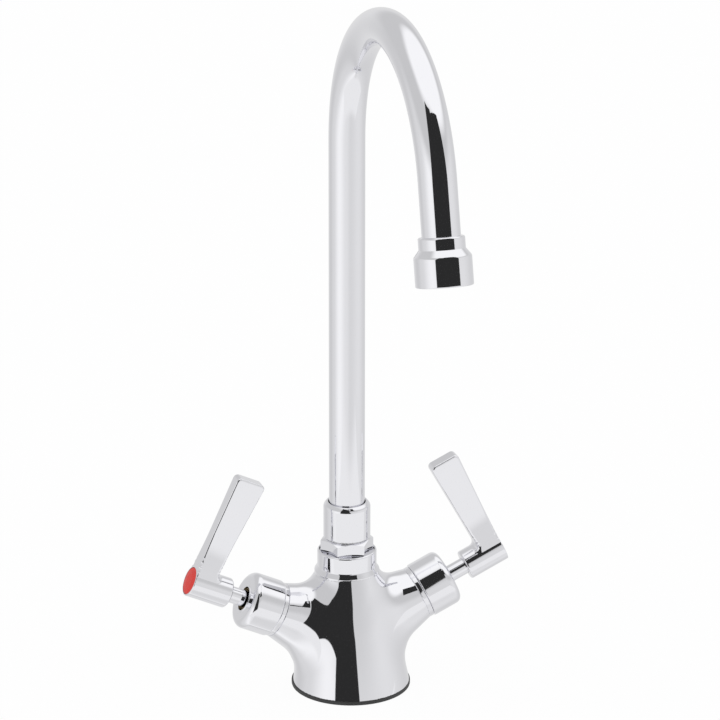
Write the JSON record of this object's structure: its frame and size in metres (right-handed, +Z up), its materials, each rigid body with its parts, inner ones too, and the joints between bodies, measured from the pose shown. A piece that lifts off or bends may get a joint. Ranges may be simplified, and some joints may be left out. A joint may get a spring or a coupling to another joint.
{
  "type": "laboratory gooseneck tap",
  "caption": "Deck-mounted mixer tap with a bell-shaped chrome body, raised valve arms with lever handles and a tall swivelling gooseneck spout that ends in an aerator.",
  "frame": {"origin": "centre of the base on the deck, at the underside of the gasket", "axes": "+Z up, -Y towards the user along the resting spout, +X towards the cold lever"},
  "size_m": [0.151, 0.1661, 0.323],
  "materials": {
    "chrome": "polished chrome plate on brass",
    "brass": "dull turned brass",
    "steel": "bright stainless steel",
    "rubber": "black moulded rubber",
    "white_plastic": "white moulded acetal",
    "ceramic": "lapped white alumina ceramic",
    "red_plastic": "glossy red index button",
    "blue_plastic": "glossy blue index button"
  },
  "bodies": {
    "body": {"valve_body": "chrome", "base_gasket": "rubber", "spout_nut": "chrome", "bonnet_hot": "chrome", "bonnet_cold": "chrome", "bonnet_ring_hot": "chrome", "bonnet_ring_cold": "chrome", "cartridge_hot": "brass", "cartridge_cold": "brass", "fixed_disc_hot": "ceramic", "fixed_disc_cold": "ceramic", "seat_seal_hot": "rubber", "seat_seal_cold": "rubber"},
    "spout": {"gooseneck_tube": "chrome", "spout_sleeve": "chrome", "spout_o_rings": "rubber", "thrust_washer": "white_plastic", "snap_ring": "steel", "outlet_collar": "chrome", "aerator_housing": "chrome", "aerator_insert": "white_plastic", "aerator_washer": "rubber", "aerator_screen": "steel"},
    "hot_lever": {"lever_hot": "chrome", "index_button_hot": "red_plastic", "lever_screw_hot": "steel", "stem_hot": "chrome", "stem_o_ring_hot": "rubber", "moving_disc_hot": "ceramic"},
    "cold_lever": {"lever_cold": "chrome", "index_button_cold": "blue_plastic", "lever_screw_cold": "steel", "stem_cold": "chrome", "stem_o_ring_cold": "rubber", "moving_disc_cold": "ceramic"}
  },
  "joints": [
    {"name": "spout_swivel", "type": "hinge", "parent": "body", "child": "spout", "pos_m": [0, 0.006, 0], "axis": [0, 0, 1], "continuous": true},
    {"name": "hot_lever_turn", "type": "hinge", "parent": "body", "child": "hot_lever", "pos_m": [0, 0.006, 0.0215], "axis": [0.9063, 0, -0.4226], "range_deg": [0, 90]},
    {"name": "cold_lever_turn", "type": "hinge", "parent": "body", "child": "cold_lever", "pos_m": [0, 0.006, 0.0215], "axis": [0.9063, 0, 0.4226], "range_deg": [0, 90]}
  ]
}
